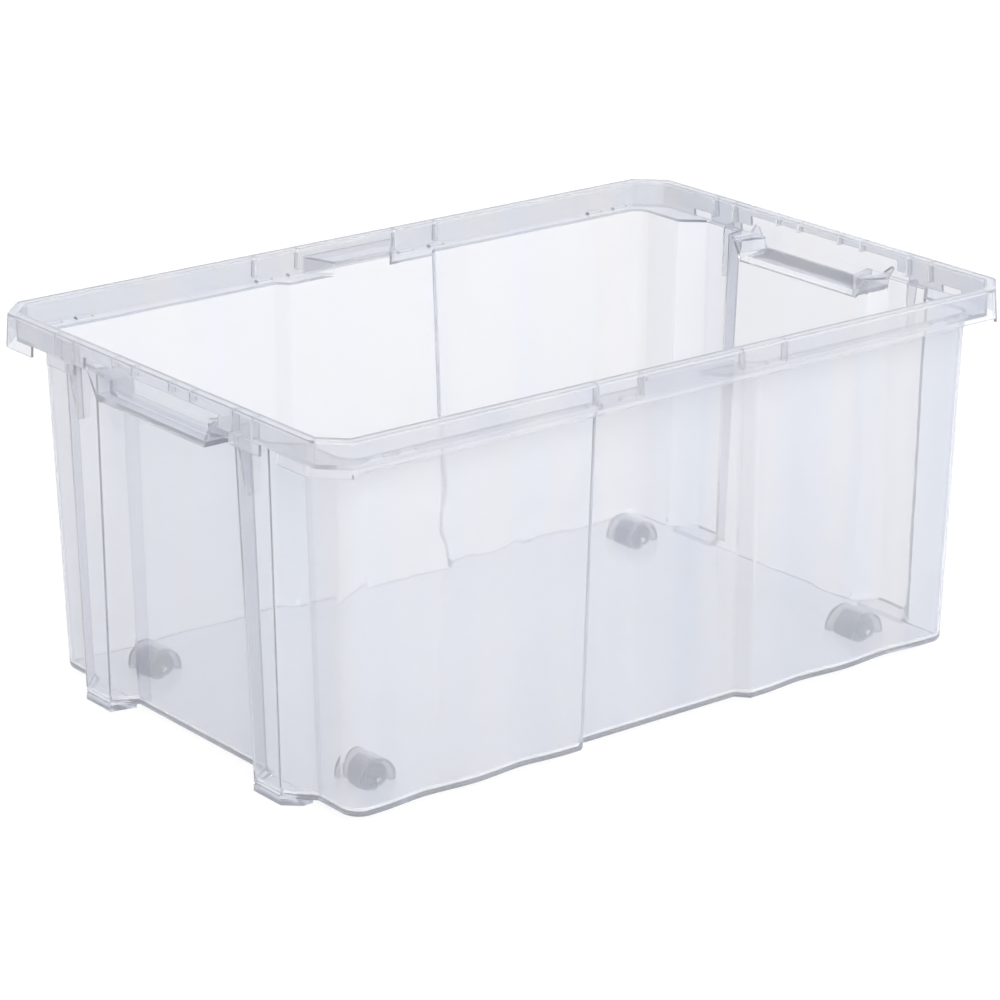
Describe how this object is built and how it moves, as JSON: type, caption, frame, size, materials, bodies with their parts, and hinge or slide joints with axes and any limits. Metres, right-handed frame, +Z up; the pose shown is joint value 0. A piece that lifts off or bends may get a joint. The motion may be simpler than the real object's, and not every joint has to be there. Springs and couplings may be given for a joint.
{
  "type": "stackable storage bin",
  "caption": "Open-topped, see-through plastic storage bin with a channel rim, hand grips in the short sides, stepped walls, corner pillars and small rollers under the floor.",
  "frame": {"origin": "centre of the footprint, on the floor plane that the rollers stand on", "axes": "+Z up out of the open top, +X along the long side, +Y along the short side"},
  "size_m": [0.6, 0.4, 0.272],
  "materials": {
    "clear_plastic": "smooth see-through polypropylene, slightly hazy",
    "grey_plastic": "satin moulded plastic",
    "pin_steel": "drawn wire"
  },
  "bodies": {
    "tub": {"bin_body": "clear_plastic", "pin_front_left": "pin_steel", "pin_front_right": "pin_steel", "pin_rear_left": "pin_steel", "pin_rear_right": "pin_steel"},
    "wheel_front_left": {"roller_front_left": "grey_plastic"},
    "wheel_front_right": {"roller_front_right": "grey_plastic"},
    "wheel_rear_left": {"roller_rear_left": "grey_plastic"},
    "wheel_rear_right": {"roller_rear_right": "grey_plastic"}
  },
  "joints": [
    {"name": "roll_front_left", "type": "hinge", "parent": "tub", "child": "wheel_front_left", "pos_m": [-0.22, -0.126, 0.011], "axis": [0, 1, 0], "continuous": true},
    {"name": "roll_front_right", "type": "hinge", "parent": "tub", "child": "wheel_front_right", "pos_m": [0.22, -0.126, 0.011], "axis": [0, 1, 0], "continuous": true},
    {"name": "roll_rear_left", "type": "hinge", "parent": "tub", "child": "wheel_rear_left", "pos_m": [-0.22, 0.126, 0.011], "axis": [0, 1, 0], "continuous": true},
    {"name": "roll_rear_right", "type": "hinge", "parent": "tub", "child": "wheel_rear_right", "pos_m": [0.22, 0.126, 0.011], "axis": [0, 1, 0], "continuous": true}
  ]
}
